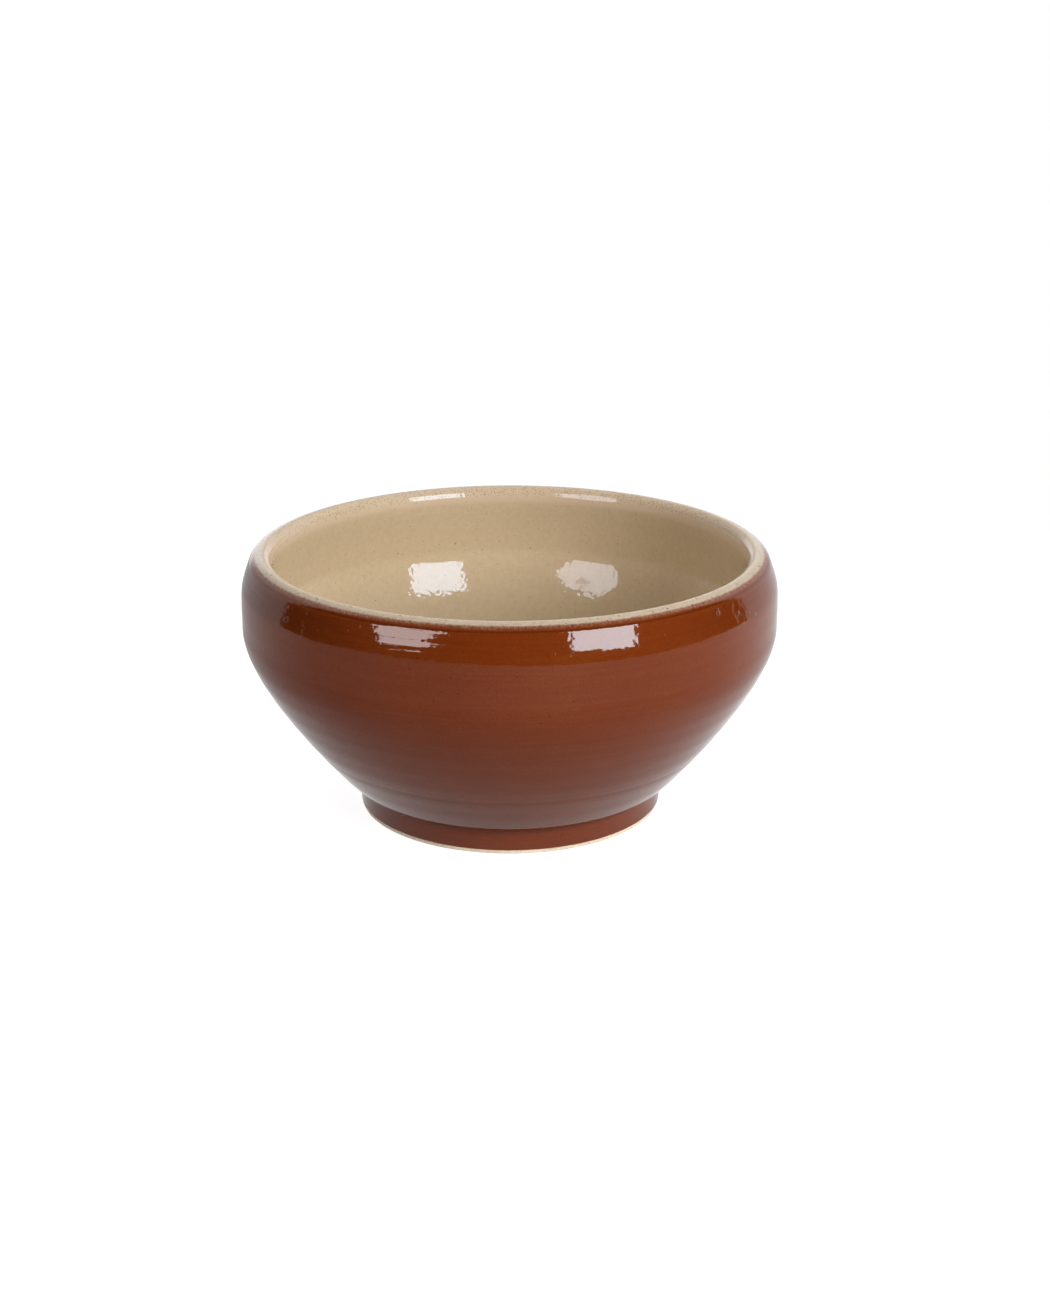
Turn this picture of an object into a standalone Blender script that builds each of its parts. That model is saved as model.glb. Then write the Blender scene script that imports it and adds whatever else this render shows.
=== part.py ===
"""A serving bowl in glazed stoneware: a turned clay body under two glaze coats.

Units are metres, with +Z up. The bowl is turned about the Z axis and stands on its foot ring at Z = 0.
Every outline below is half of the bowl's cross-section, as points of radius and height. It starts at
the middle of the floor inside, climbs the inside wall, crosses the lip and runs down the outside.
"""

from math import cos, pi, radians, sin

import bmesh
import bpy
from mathutils import Vector

# Outside sizes, over the glaze
BELLY_RADIUS = 0.1100  # widest ring
FOOT_RADIUS = 0.0633
FOOT_HEIGHT = 0.0110  # table to the start of the wall
BELLY_RISE = 0.0676  # start of the wall to the widest ring
SHOULDER_RISE = 0.0309  # widest ring to the crest of the lip

# Lip
LIP_RADIUS = 0.1007  # crest of the lip
LIP_LEAN = radians(20)  # how far the shoulder leans in where it reaches the lip
LIP_CORNER = 0.0062  # rounding on the outer side of the crest
LIP_MEETING = radians(60)  # place on that rounding where the coats meet, up from level
LIP_INSIDE_REACH = 0.0039  # crest inwards to the narrowest ring
LIP_INSIDE_DROP = 0.0054  # crest down to the narrowest ring

# Wall and floor
WALL_THICKNESS = 0.0070  # above the foot, over both glaze coats
BELLY_THICKNESS = 0.0080  # at the widest ring, over both glaze coats
FLOOR_THICKNESS = 0.0092  # bare clay
FLOOR_FLAT_RADIUS = 0.0400
FLOOR_COVE_RISE = 0.0130  # height over which the floor curves up into the wall

# Foot
FOOT_COVE = 0.0025  # how far the wall starts outside the foot
FOOT_COVE_DROP = 0.0010  # height of the hollow curve between foot and wall
FOOT_BARE_HEIGHT = 0.0019  # clay left bare above the table
FOOT_CHAMFER = 0.0005
FOOT_RING_WIDTH = 0.0085
FOOT_RECESS_DEPTH = 0.0030
FOOT_RECESS_DRAFT = 0.0015  # how far the recess narrows towards its top

# Glaze
GLAZE_THICKNESS = 0.0005
SEAT_GAP = 0.0003  # between a coat and the clay, and between the two coats

# Fullness of the wall's curves, as shares of the rise that each curve spans
WALL_START_SLOPE = radians(72)  # from upright, just above the foot
WALL_START_PULL = 0.049
BELLY_PULL_DOWN = 0.300
BELLY_PULL_UP = 0.600
SHOULDER_PULL = 0.340
SHOULDER_INSIDE_PULL = 0.200
LIP_INSIDE_PULL = 0.552  # a quarter of an ellipse
COVE_PULL = 0.45

# Fineness
TURN_STEPS = 48
WALL_STEPS = 8
SHOULDER_STEPS = 7
COVE_STEPS = 4
LIP_INSIDE_STEPS = 5
LIP_OUTSIDE_STEPS = 3
LIP_CORNER_STEPS = 4
FOOT_COVE_STEPS = 2
MERGE_DISTANCE = 0.000001
SHARP_ANGLE = radians(40)

# Colours (linear), with roughness
CLAY_COLOUR = (0.58, 0.45, 0.34)
CLAY_ROUGHNESS = 0.80
BROWN_COLOUR = (0.170, 0.028, 0.006)
CREAM_COLOUR = (0.470, 0.350, 0.215)
GLAZE_ROUGHNESS = 0.10

# Levels and depths that follow from the sizes above
BELLY_HEIGHT = FOOT_HEIGHT + BELLY_RISE
BOWL_HEIGHT = BELLY_HEIGHT + SHOULDER_RISE
CLAY_DEPTH = GLAZE_THICKNESS + SEAT_GAP
FLOOR_HEIGHT = FOOT_RECESS_DEPTH + FLOOR_THICKNESS + CLAY_DEPTH
LIP_CORNER_CENTRE = Vector((LIP_RADIUS, BOWL_HEIGHT - LIP_CORNER))
THROAT = Vector((LIP_RADIUS - LIP_INSIDE_REACH, BOWL_HEIGHT - LIP_INSIDE_DROP))


def along(lean):
    """Direction down a wall that leans in at its top by this angle."""
    return Vector((sin(lean), -cos(lean)))


def left_of(direction):
    """Unit vector to the left of a direction, which is away from the clay along every outline."""
    return Vector((-direction.y, direction.x)).normalized()


def cubic(start, start_handle, end, end_handle, steps):
    """A cubic curve as (point, normal) pairs, its first point included."""
    second = start + start_handle
    third = end + end_handle
    pairs = []
    for step in range(steps + 1):
        t = step / steps
        s = 1 - t
        point = s**3 * start + 3 * s * s * t * second + 3 * s * t * t * third + t**3 * end
        slope = s * s * (second - start) + 2 * s * t * (third - second) + t * t * (end - third)
        pairs.append((point, left_of(slope)))
    return pairs


def arc(centre, radius, first_angle, last_angle, steps):
    """A round corner as (point, normal) pairs."""
    pairs = []
    for step in range(steps + 1):
        angle = first_angle + (last_angle - first_angle) * step / steps
        normal = Vector((cos(angle), sin(angle)))
        pairs.append((centre + radius * normal, normal))
    return pairs


def shoulder_skin():
    """Outside of the shoulder, from the end of the lip's rounding down to the widest ring."""
    return cubic(
        LIP_CORNER_CENTRE + LIP_CORNER * Vector((cos(LIP_LEAN), sin(LIP_LEAN))),
        SHOULDER_PULL * SHOULDER_RISE * along(LIP_LEAN),
        Vector((BELLY_RADIUS, BELLY_HEIGHT)),
        Vector((0, BELLY_PULL_UP * SHOULDER_RISE)),
        SHOULDER_STEPS,
    )


def wall_skin():
    """Outside of the wall, from the widest ring down to the glaze edge on the foot."""
    widest = Vector((BELLY_RADIUS, BELLY_HEIGHT))
    wall_start = Vector((FOOT_RADIUS + FOOT_COVE, FOOT_HEIGHT))
    foot_top = Vector((FOOT_RADIUS, FOOT_HEIGHT - FOOT_COVE_DROP))
    foot_edge = Vector((FOOT_RADIUS, FOOT_BARE_HEIGHT))
    wall_direction = Vector((sin(WALL_START_SLOPE), cos(WALL_START_SLOPE)))
    wall = cubic(
        widest,
        Vector((0, -BELLY_PULL_DOWN * BELLY_RISE)),
        wall_start,
        WALL_START_PULL * BELLY_RISE * wall_direction,
        WALL_STEPS,
    )
    foot_cove = cubic(
        wall_start,
        -FOOT_COVE / 2 * wall_direction,
        foot_top,
        Vector((0, FOOT_COVE_DROP / 2)),
        FOOT_COVE_STEPS,
    )
    return wall + foot_cove[1:] + [(foot_edge, Vector((1, 0)))]


def outside_skin():
    """Surface of the brown coat, from its edge on the lip down to its edge on the foot."""
    first_angle = LIP_MEETING - SEAT_GAP / LIP_CORNER
    corner = arc(LIP_CORNER_CENTRE, LIP_CORNER, first_angle, LIP_LEAN, LIP_CORNER_STEPS)
    return corner + shoulder_skin()[1:] + wall_skin()[1:]


def lip_skin():
    """Surface of the cream coat over the lip, from the narrowest ring to its edge on the outside."""
    inside = cubic(
        THROAT,
        Vector((0, LIP_INSIDE_PULL * LIP_INSIDE_DROP)),
        Vector((LIP_RADIUS, BOWL_HEIGHT)),
        Vector((-LIP_INSIDE_PULL * LIP_INSIDE_REACH, 0)),
        LIP_INSIDE_STEPS,
    )
    outside = arc(LIP_CORNER_CENTRE, LIP_CORNER, pi / 2, LIP_MEETING, LIP_OUTSIDE_STEPS)
    return inside + outside[1:]


def inside_shoulder_skin():
    """Inside of the shoulder, from the widest ring up to the narrowest one."""
    widest = Vector((BELLY_RADIUS - BELLY_THICKNESS, BELLY_HEIGHT))
    pull = SHOULDER_INSIDE_PULL * Vector((0, THROAT.y - BELLY_HEIGHT))
    return cubic(widest, pull, THROAT, -pull, SHOULDER_STEPS)


def thickness_at(height):
    """Thickness of the wall, which grows smoothly from the foot to the widest ring."""
    share = max(0, (height - FOOT_HEIGHT) / BELLY_RISE)
    return WALL_THICKNESS + (BELLY_THICKNESS - WALL_THICKNESS) * share * share * (3 - 2 * share)


def climbing_from(skin, height):
    """The part of a climbing skin above this height, with a first pair exactly there."""
    above = [pair for pair in skin if pair[0].y > height]
    (low, low_normal), (high, high_normal) = skin[-len(above) - 1], above[0]
    share = (height - low.y) / (high.y - low.y)
    start = (low.lerp(high, share), low_normal.lerp(high_normal, share).normalized())
    return [start] + above


def inside_skin():
    """Surface of the cream coat, from the middle of the floor over the lip to its outer edge."""
    outside = reversed(wall_skin())
    full_wall = [(point - thickness_at(point.y) * normal, -normal) for point, normal in outside]
    wall = climbing_from(full_wall, FLOOR_HEIGHT + FLOOR_COVE_RISE)

    floor_middle = Vector((0, FLOOR_HEIGHT))
    floor_edge = Vector((FLOOR_FLAT_RADIUS, FLOOR_HEIGHT))
    wall_foot, wall_normal = wall[0]
    reach = COVE_PULL * (wall_foot - floor_edge).length
    up_the_wall = Vector((wall_normal.y, -wall_normal.x))
    cove = cubic(floor_edge, Vector((reach, 0)), wall_foot, -reach * up_the_wall, COVE_STEPS)
    return [(floor_middle, Vector((0, 1)))] + cove + wall[1:] + inside_shoulder_skin()[1:] + lip_skin()[1:]


def sunk(skin, depth):
    """The points that lie this deep under a skin."""
    return [point - depth * normal for point, normal in skin]


def turned(name, outline, material):
    """A solid of revolution about Z from an outline, which closes on the axis or on itself."""
    mesh = bpy.data.meshes.new(name)
    shape = bmesh.new()
    points = [shape.verts.new((point.x, 0, point.y)) for point in outline]
    edges = [shape.edges.new(pair) for pair in zip(points, points[1:])]
    if outline[0].x > 0:
        edges.append(shape.edges.new((points[-1], points[0])))
    bmesh.ops.spin(
        shape,
        geom=points + edges,
        cent=(0, 0, 0),
        axis=(0, 0, 1),
        angle=2 * pi,
        steps=TURN_STEPS,
        use_merge=True,
    )
    bmesh.ops.remove_doubles(shape, verts=shape.verts, dist=MERGE_DISTANCE)
    bmesh.ops.recalc_face_normals(shape, faces=shape.faces)
    shape.to_mesh(mesh)
    shape.free()
    mesh.shade_smooth()
    mesh.set_sharp_from_angle(angle=SHARP_ANGLE)
    mesh.materials.append(material)
    bpy.context.scene.collection.objects.link(bpy.data.objects.new(name, mesh))


def finish(name, colour, roughness):
    """A plain material: fired clay or glaze, neither of them metal."""
    material = bpy.data.materials.new(name)
    material.use_nodes = True
    shader = material.node_tree.nodes["Principled BSDF"]
    shader.inputs["Base Color"].default_value = (*colour, 1)
    shader.inputs["Roughness"].default_value = roughness
    shader.inputs["Metallic"].default_value = 0
    return material


def stoneware_body():
    """The clay: inside, lip and outside under the coats, then the bare foot ring and its recess."""
    clay_foot = FOOT_RADIUS - SEAT_GAP
    ring_inside = clay_foot - FOOT_RING_WIDTH
    bare_top = FOOT_BARE_HEIGHT - SEAT_GAP
    underside = [
        Vector((FOOT_RADIUS - CLAY_DEPTH, bare_top)),
        Vector((clay_foot, bare_top)),
        Vector((clay_foot, FOOT_CHAMFER)),
        Vector((clay_foot - FOOT_CHAMFER, 0)),
        Vector((ring_inside, 0)),
        Vector((ring_inside - FOOT_RECESS_DRAFT, FOOT_RECESS_DEPTH)),
        Vector((0, FOOT_RECESS_DEPTH)),
    ]
    outline = sunk(inside_skin() + outside_skin(), CLAY_DEPTH) + underside
    turned("stoneware_body", outline, finish("bare_clay", CLAY_COLOUR, CLAY_ROUGHNESS))


def outside_glaze():
    """The brown coat, a shell from under the lip to just above the table."""
    skin = outside_skin()
    outline = sunk(skin, 0) + sunk(skin, GLAZE_THICKNESS)[::-1]
    turned("outside_glaze", outline, finish("brown_glaze", BROWN_COLOUR, GLAZE_ROUGHNESS))


def inside_glaze():
    """The cream coat, a shell over the floor, the inside wall and the lip."""
    skin = inside_skin()
    outline = sunk(skin, 0) + sunk(skin, GLAZE_THICKNESS)[::-1]
    turned("inside_glaze", outline, finish("cream_glaze", CREAM_COLOUR, GLAZE_ROUGHNESS))


def main():
    for item in list(bpy.data.objects):
        bpy.data.objects.remove(item)
    stoneware_body()
    outside_glaze()
    inside_glaze()


main()
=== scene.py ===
"""Serving bowl: the finished look of a glazed stoneware bowl, built round its fixed frame.

The clay and both glaze coats are turned from one cross-section, so they meet without a step. Sizes are in
metres, with +Z up from the table. Each outline is half of the cross-section, as points of radius and height.
"""

from collections import namedtuple
from math import cos, exp, pi, radians, sin, tau

import bmesh
import bpy
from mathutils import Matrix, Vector, noise


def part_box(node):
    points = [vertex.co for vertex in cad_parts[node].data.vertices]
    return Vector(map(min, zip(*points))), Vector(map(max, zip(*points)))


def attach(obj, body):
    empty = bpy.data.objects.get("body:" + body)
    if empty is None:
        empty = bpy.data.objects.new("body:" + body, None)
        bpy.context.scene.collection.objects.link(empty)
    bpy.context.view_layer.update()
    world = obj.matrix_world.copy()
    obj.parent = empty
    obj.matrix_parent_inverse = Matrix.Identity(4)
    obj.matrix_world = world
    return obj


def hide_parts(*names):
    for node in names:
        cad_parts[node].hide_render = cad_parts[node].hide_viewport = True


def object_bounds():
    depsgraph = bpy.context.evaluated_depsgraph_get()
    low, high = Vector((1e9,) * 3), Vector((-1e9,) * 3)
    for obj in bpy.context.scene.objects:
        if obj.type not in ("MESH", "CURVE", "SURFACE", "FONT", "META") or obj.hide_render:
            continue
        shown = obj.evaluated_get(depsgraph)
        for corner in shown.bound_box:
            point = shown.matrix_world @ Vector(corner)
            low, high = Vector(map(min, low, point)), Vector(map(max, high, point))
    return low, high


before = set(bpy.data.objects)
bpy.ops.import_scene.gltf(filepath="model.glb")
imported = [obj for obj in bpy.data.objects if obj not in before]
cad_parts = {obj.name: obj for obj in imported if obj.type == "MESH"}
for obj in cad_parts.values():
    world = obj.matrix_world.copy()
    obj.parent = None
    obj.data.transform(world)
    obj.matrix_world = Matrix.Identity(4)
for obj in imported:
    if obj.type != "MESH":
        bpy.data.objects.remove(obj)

bl_info = {
    "name": "Serving Bowl Finish",
    "version": (1, 0, 0),
    "blender": (4, 5, 0),
    "location": "View3D > Sidebar > Bowl",
    "description": "Turns the clay and the two glaze coats of a serving bowl and sets up a studio round it",
    "category": "Object",
}

CAD_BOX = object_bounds()
OUTSIDE_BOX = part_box("outside_glaze")
INSIDE_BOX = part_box("inside_glaze")


# Flaws in the brown glaze below the lip: nicks by azimuth, round from the front, height and size, and
# pale runs by azimuth
NICKS = (
    (radians(47.4), 0.1037, 0.0026),
    (radians(54.5), 0.1005, 0.0018),
    (radians(60.8), 0.0974, 0.0020),
    (radians(74.0), 0.0965, 0.0016),
    (radians(-51.0), 0.1000, 0.0020),
)
RUNS = (radians(-45.3), radians(53.0), radians(55.5))


# Noise in the surfaces: waves per metre along X, Y and Z, and how many finer layers lie on them
Waves = namedtuple("Waves", "x y z layers")
TURNING_LINES = Waves(26, 26, 900, 3)
TURNING_BANDS = Waves(5, 5, 130, 2)
TURNING_GROOVES = Waves(14, 14, 330, 1)
DIMPLES = Waves(560, 560, 560, 0)
BROWN_DRIFT = Waves(28, 28, 34, 3)
BROWN_GRAIN = Waves(1500, 1500, 1500, 1)
GOLDEN_PATCHES = Waves(40, 40, 60, 1)
RUN_SWAY = Waves(90, 90, 330, 2)
RUN_BREAKS = Waves(200, 200, 420, 1)
NICK_CRUMBS = Waves(900, 900, 500, 1)
CREAM_MOTTLE = Waves(420, 420, 420, 3)
CREAM_GRAIN = Waves(1900, 1900, 1900, 1)
MEETING_WANDER = Waves(700, 700, 150, 3)
MEETING_STREAKS = Waves(1300, 1300, 90, 2)
CLAY_GRAIN = Waves(900, 900, 900, 3)
CLAY_DRIFT = Waves(60, 60, 60, 3)
NOISE_MEAN = 0.5

# Scattered specks: distance between the places for one, size, share of places that hold one, and strength
Specks = namedtuple("Specks", "spacing size share strength")
BROWN_IRON = Specks(0.0030, 0.00050, 0.12, 0.70)
PINHOLES = Specks(0.0110, 0.00032, 0.30, 0.45)
PITS = Specks(0.0140, 0.00085, 0.16, 0.80)
GOLDEN_FLECKS = Specks(0.0024, 0.00036, 0.70, 0.42)
CREAM_IRON = Specks(0.0050, 0.00042, 0.30, 0.65)
CREAM_DUST = Specks(0.0024, 0.00040, 0.36, 0.42)
LIP_SAND = Specks(0.0009, 0.00042, 0.70, 0.55)
MEETING_IRON = Specks(0.0019, 0.00062, 0.40, 0.65)
CLAY_GROG = Specks(0.0026, 0.00050, 0.35, 0.60)
SPECK_CORE = 0.5
FLECK_STRETCH = (1.0, 1.0, 0.3)
CREAM_SPECK_SHIFT = (0.0021, 0.0013, 0.0007)

# Smooth steps, where a measure from start to end turns into low to high. First those of noise
Ramp = namedtuple("Ramp", "start end low high", defaults=(0.0, 1.0))
BROWN_TONE = Ramp(0.35, 0.85)
CREAM_TONE = Ramp(0.30, 0.72)
CLAY_TONE = Ramp(0.35, 0.65)
PATCH_EDGE = Ramp(0.46, 0.58)
BREAK_EDGE = Ramp(0.40, 0.60)
SCAB_EDGE = Ramp(0.48, 0.54)
CHIP_EDGE = Ramp(0.42, 0.36)
STREAK_EDGE = Ramp(0.35, 0.70, 0.25, 1.0)

# Smooth steps across the bowl, along X: painted shade on the left and right of the shoulder, turning ridges
# and a swell of the shoulder
SHOULDER_SHADE_LEFT = Ramp(-0.040, -0.085, 0.0, 0.43)
SHOULDER_SHADE_RIGHT = Ramp(0.050, 0.085, 0.0, 0.24)
RIDGES_LEFT = Ramp(0.02, -0.05, 0.25, 1.0)
SWELL_LEFT = Ramp(0.03, -0.03, 0.60, 3.2)
SWELL_END = Ramp(-0.075, -0.055)

# Smooth steps up the bowl, along Z, and soft bands by their start, full, fading and end
RIDGES_UP = Ramp(0.094, 0.100, 0.06, 1.0)
SWELL_UP = Ramp(0.0925, 0.1050)
DIMPLES_UP = Ramp(0.088, 0.097, 0.10, 1.0)
# Painted light in the buff glaze: darker towards the floor, and lighter under the shoulder inside, where the
# inward-leaning wall lies in shade
CREAM_PAINTED_LIGHT_LOW = Ramp(0.045, 0.082, 0.92, 1.08)
CREAM_PAINTED_LIGHT_HIGH = Ramp(0.084, 0.099, 1.0, 0.93)
SHOULDER = (0.094, 0.099, 0.104, 0.107)
LIP_HOLLOW = (0.1056, 0.1067, 0.1067, 0.1078)

# Shares of the noises in the tone of the brown glaze, the buff glaze and the clay
LINES_SHARE = 0.28
BANDS_SHARE = 0.10
DRIFT_SHARE = 0.25
GRAIN_SHARE = 0.45
MOTTLE_SHARE = 0.5
CLAY_GRAIN_SHARE = 0.6
CLAY_DRIFT_SHARE = 0.4

# Brown glaze: the gold of its flecks, the width, stray and side of a run, and the marks of a nick
GOLD_SHARE = 0.35
RUN_STRAY = 0.004
RUN_EDGE = Ramp(0.0010, 0.0002)
RUN_SIDE = Ramp(0.05, 0.09)
RUN_STRENGTH = 0.22
NICK_CORE = 0.4
SCAB_STRENGTH = 0.85
CHIP_STRENGTH = 0.45

# Buff glaze on the lip: sand and paleness below the crest, and thinness to both sides of it
SAND_START = 0.0050
SAND_FULL = 0.0026
PALE_START = 0.0078
PALE_FULL = 0.0056
PALE_SHARE = 0.75
THIN_INSIDE = 0.0004
THIN_OUTSIDE = 0.0022
THIN_LOSS = 0.20
CREAM_DIM = (0.90, 0.885, 0.87)

# Where the glazes meet: how far their line strays, and how strong the pool and the fringe under it are
MEETING_STRAY = 0.0004
POOL_STRENGTH = 0.55
FRINGE_STRENGTH = 0.75
BUFF_SHARE = 0.30

# Skin of the glaze and the clay: shares of its ridges and dimples, and then heights in metres
GROOVE_STRENGTH = 1.6
COARSE_STRENGTH = 2.6
HOLLOW_STRENGTH = 1.5
BROWN_RIDGES = 0.000070
BROWN_DIMPLES = 0.000040
CREAM_RIDGES = 0.000008
CREAM_DIMPLES = 0.000046
DENT_DEPTH = 0.00006
CLAY_GRAIN_DEPTH = 0.00012

# Gloss: roughness of the sand on the lip, and how strongly the glaze bends light
SAND_ROUGHNESS = 0.4
GLAZE_IOR = 1.5

# Solids: thickness of a coat, what is welded, what is a sharp edge, and the softened edges of the foot and
# the brown coat, as shares of its chamfer or of the coat
COAT = 0.0005
MERGE_DISTANCE = 0.000001
SHARP_ANGLE = radians(40)
FOOT_ROUNDING = 0.3
RING_CUT = 0.5
BEAD_IN = 0.3
BEAD_DOWN = 0.35

# Floor: its steps, how far it lies under the bowl, and how its image in the glaze brightens
FLOOR_STEPS = 96
FLOOR_DROP = 0.0001
STRIP_SIDE = (0.11, 0.17)
STRIP_GAIN = 1.6
FRONT_REACH = (0.22, 0.34)
FRONT_GAIN = 1.25
BEHIND_SPREAD = (-0.15, 0.15)
BESIDE_SPREAD = (-0.2, 0.2)
CLOSE_FLOOR = Ramp(0.070, 0.095, 1.25, 1.0)

# Lamps: half of a face, how far its corners are cut, the shaded spot on it, and how far a lamp's shine
# stands in front of it, as a share of its distance, so that a ray meets both
HALF_FACE = 0.5
CORNER_CUT = 0.5
SPOT_X = 0.04
SPOT_Y = 0.08
SPOT_SHADE = Ramp(0.06, 0.10, 0.42, 1.0)
SHINE_GAP = 0.002

# Camera frame in millimetres
FRAME_WIDTH = 36

# Sockets of a mixing node, for plain numbers and for colours: factor, first, second and result
MIX_SOCKETS = {"FLOAT": (0, 2, 3, 0), "RGBA": (0, 6, 7, 2)}


# Kinds of setting

def length(name, description, default):
    """A size that shows in the sidebar in the scene's unit."""
    return bpy.props.FloatProperty(
        name=name, description=description, default=default, unit="LENGTH", precision=5
    )


def angle(name, description, degrees):
    """An angle that shows in the sidebar in degrees."""
    return bpy.props.FloatProperty(
        name=name, description=description, default=radians(degrees), subtype="ANGLE"
    )


def amount(name, description, default):
    """A plain number."""
    return bpy.props.FloatProperty(name=name, description=description, default=default, precision=4)


def colour(name, description, default):
    """A linear colour."""
    return bpy.props.FloatVectorProperty(
        name=name, description=description, default=default, subtype="COLOR", size=3, min=0, max=1
    )


def count(name, description, default):
    """A number of steps along a curve."""
    return bpy.props.IntProperty(name=name, description=description, default=default, min=1)


class BowlShape(bpy.types.PropertyGroup):
    """Sizes of the turned bowl, measured over the glaze."""

    belly_radius: length("Belly radius", "Radius of the widest ring", CAD_BOX[1].x)
    bowl_height: length("Height", "Table to the crest of the lip", CAD_BOX[1].z)
    belly_height: length("Belly height", "Table to the widest ring", 0.0786)
    foot_radius: length("Foot radius", "Radius of the foot's side", 0.0633)
    foot_height: length("Foot height", "Table to the start of the wall", 0.0110)
    bare_height: length("Bare height", "Clay left bare above the table", OUTSIDE_BOX[0].z)
    lip_radius: length("Lip radius", "Radius of the crest of the lip", 0.1007)
    lip_lean: angle("Lip lean", "How far the shoulder leans in at the lip", 20)
    lip_corner: length("Lip corner", "Rounding on the outer side of the crest", 0.0062)
    lip_meeting: angle("Lip meeting", "Place on that rounding where the coats meet, up from level", 60)
    lip_reach: length("Lip reach", "Crest of the lip inwards to the narrowest ring", 0.0039)
    lip_drop: length("Lip drop", "Crest of the lip down to the narrowest ring", 0.0054)
    wall: length("Wall", "Thickness of the wall above the foot, over both coats", 0.0070)
    belly_wall: length("Belly wall", "Thickness of the wall at the widest ring, over both coats", 0.0080)
    floor_height: length("Floor height", "Table to the floor inside", INSIDE_BOX[0].z + COAT)
    floor_radius: length("Floor radius", "Radius of the flat floor inside", 0.0400)
    cove_rise: length("Cove rise", "Height over which the floor curves into the wall", 0.0130)
    foot_cove: length("Foot cove", "How far the wall starts outside the foot", 0.0025)
    foot_cove_drop: length("Foot cove drop", "Height of the hollow between foot and wall", 0.0010)
    foot_ring: length("Foot ring", "Width of the ring that the bowl stands on", 0.0085)
    recess: length("Recess", "Depth of the recess under the foot", 0.0030)
    recess_draft: length("Recess draft", "How far the recess narrows towards its top", 0.0015)
    chamfer: length("Chamfer", "Softened edge of the foot ring", 0.0005)
    bare_inset: length("Bare inset", "How far the bare foot lies inside the glaze", 0.0003)
    coat: length("Coat", "Thickness of each glaze coat", COAT)
    seat: length("Seat", "Hairline between a coat and the clay", 0.00002)
    wall_slope: angle("Wall slope", "Lean of the wall just above the foot, from upright", 72)
    wall_pull: amount("Wall pull", "Fullness of the wall above the foot", 0.049)
    belly_pull_down: amount("Belly pull down", "Fullness of the wall below the belly", 0.300)
    belly_pull_up: amount("Belly pull up", "Fullness of the shoulder above the belly", 0.600)
    shoulder_pull: amount("Shoulder pull", "Fullness of the shoulder below the lip", 0.340)
    inside_pull: amount("Inside pull", "Fullness of the shoulder inside", 0.200)
    lip_pull: amount("Lip pull", "Fullness of the lip inside, here a quarter of an ellipse", 0.552)
    cove_pull: amount("Cove pull", "Fullness of the curve from floor to wall", 0.45)


class BowlMarks(bpy.types.PropertyGroup):
    """Marks that turning, trimming and dipping left in the surface."""

    line_height: length("Wall line height", "Scratched line round the lower wall", 0.0305)
    line_depth: length("Wall line depth", "Depth of that line", 0.00012)
    line_width: length("Line width", "Width of a scratched line", 0.00035)
    ripple_length: length("Ripple length", "Spacing of the finger ridges on the wall", 0.0085)
    ripple_depth: length("Ripple depth", "Height of those ridges", 0.00003)
    floor_ripple_length: length("Floor ring spacing", "Spacing of the rings on the floor inside", 0.0060)
    floor_ripple_depth: length("Floor ring depth", "Height of those rings", 0.00012)
    base_ripple_length: length("Base ring spacing", "Spacing of the trimming rings underneath", 0.0024)
    base_ripple_depth: length("Base ring depth", "Height of those rings", 0.00008)
    wobble: length("Wobble", "How far the hand-turned wall strays inwards", 0.00012)
    wobble_around: amount("Wobble around", "Waves per metre round the bowl", 22.0)
    wobble_up: amount("Wobble up", "Waves per metre of height", 70.0)


class BowlFineness(bpy.types.PropertyGroup):
    """How many steps each curve of the cross-section gets."""

    around: count("Around", "Steps of the turn", 192)
    shoulder: count("Shoulder", "Steps down the shoulder", 72)
    wall: count("Wall", "Steps down the wall", 84)
    foot_cove: count("Foot cove", "Steps of the hollow at the foot", 6)
    foot: count("Foot", "Steps down the foot's side", 8)
    lip: count("Lip", "Steps of the lip's rounding inside", 20)
    corner: count("Lip corner", "Steps of the lip's rounding outside", 10)
    cove: count("Cove", "Steps from the floor into the wall", 20)
    floor: count("Floor", "Steps across the floor", 40)
    base: count("Base", "Steps across the underside", 64)
    hidden: count("Hidden", "Every how many steps a hidden skin keeps", 4)


class BowlFinish(bpy.types.PropertyGroup):
    """Colours and gloss of the clay and the two glazes."""

    brown: colour("Brown", "Brown glaze where it lies thick", (0.152, 0.0225, 0.0029))
    brown_thin: colour("Thin brown", "Brown glaze on ridges and edges", (0.195, 0.040, 0.0060))
    brown_deep: colour("Deep brown", "Brown glaze pooled under the lip", (0.050, 0.009, 0.0015))
    cream: colour("Cream", "Buff glaze inside", (0.632, 0.480, 0.306))
    cream_pale: colour("Pale cream", "Buff glaze where it thins over the lip", (0.660, 0.492, 0.335))
    iron: colour("Iron", "Iron specks in both glazes", (0.045, 0.026, 0.016))
    sand: colour("Sand", "Brown sand in the glaze on the lip", (0.230, 0.115, 0.050))
    clay: colour("Clay", "Bare fired clay", (0.950, 0.780, 0.600))
    clay_dark: colour("Dark clay", "Bare clay in its hollows", (0.780, 0.610, 0.450))
    brown_sheen: colour("Brown sheen", "Tint of what the brown glaze mirrors", (0.94, 0.98, 1.00))
    cream_sheen: colour("Cream sheen", "Tint of what the buff glaze mirrors", (0.68, 0.78, 0.94))
    gloss: amount("Gloss", "Roughness of the glazes", 0.055)
    clay_roughness: amount("Clay roughness", "Roughness of the bare clay", 0.82)
    meeting_height: length("Meeting height", "Height where brown glaze meets cream", 0.10865)
    meeting_softness: length("Meeting softness", "Height over which they mix", 0.0006)


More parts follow.
